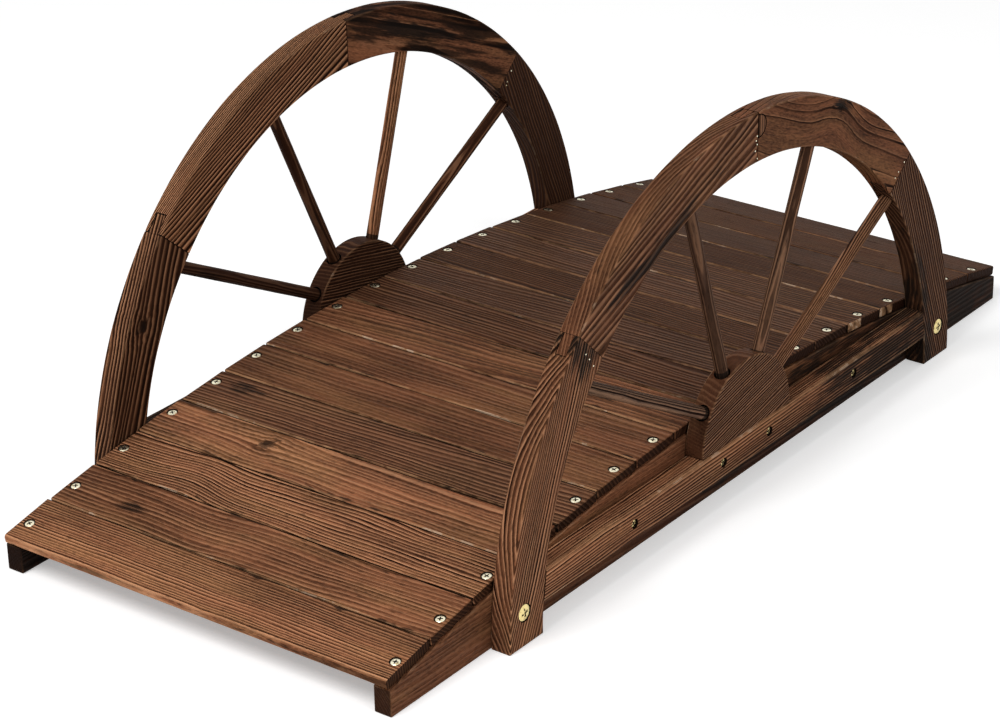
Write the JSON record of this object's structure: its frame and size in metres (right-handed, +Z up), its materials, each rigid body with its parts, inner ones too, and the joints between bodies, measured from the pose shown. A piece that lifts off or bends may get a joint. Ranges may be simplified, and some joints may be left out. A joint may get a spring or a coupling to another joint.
{
  "type": "garden footbridge with half-wheel rails",
  "caption": "Small ornamental garden bridge: arched plank deck on two stringers, with a half wagon wheel of felloes, hub and spokes as the rail on each side.",
  "frame": {"origin": "on the ground under the middle of the deck", "axes": "+X along the walkway, +Y to the left of someone walking along +X, +Z up"},
  "size_m": [1.006, 0.476, 0.367],
  "materials": {
    "deck_wood": "scorched and brushed, satin",
    "stringer_wood": "scorched and brushed, satin",
    "rim_wood": "scorched and brushed, satin",
    "hub_wood": "scorched and brushed, satin",
    "spoke_wood": "scorched and brushed, satin",
    "screw_brass": "yellow zinc plated"
  },
  "bodies": {
    "root": {"deck_board_01": "deck_wood", "deck_board_02": "deck_wood", "deck_board_03": "deck_wood", "deck_board_04": "deck_wood", "deck_board_05": "deck_wood", "deck_board_06": "deck_wood", "deck_board_07": "deck_wood", "deck_board_08": "deck_wood", "deck_board_09": "deck_wood", "deck_board_10": "deck_wood", "deck_board_11": "deck_wood", "deck_board_12": "deck_wood", "deck_board_13": "deck_wood", "deck_board_14": "deck_wood", "deck_board_15": "deck_wood", "deck_board_16": "deck_wood", "deck_board_17": "deck_wood", "right_stringer": "stringer_wood", "left_stringer": "stringer_wood", "right_felloe_1": "rim_wood", "right_felloe_2": "rim_wood", "right_felloe_3": "rim_wood", "right_felloe_4": "rim_wood", "left_felloe_1": "rim_wood", "left_felloe_2": "rim_wood", "left_felloe_3": "rim_wood", "left_felloe_4": "rim_wood", "right_beam": "stringer_wood", "left_beam": "stringer_wood", "right_hub": "hub_wood", "left_hub": "hub_wood", "right_spoke_1": "spoke_wood", "right_spoke_2": "spoke_wood", "right_spoke_3": "spoke_wood", "right_spoke_4": "spoke_wood", "left_spoke_1": "spoke_wood", "left_spoke_2": "spoke_wood", "left_spoke_3": "spoke_wood", "left_spoke_4": "spoke_wood"}
  },
  "joints": []
}
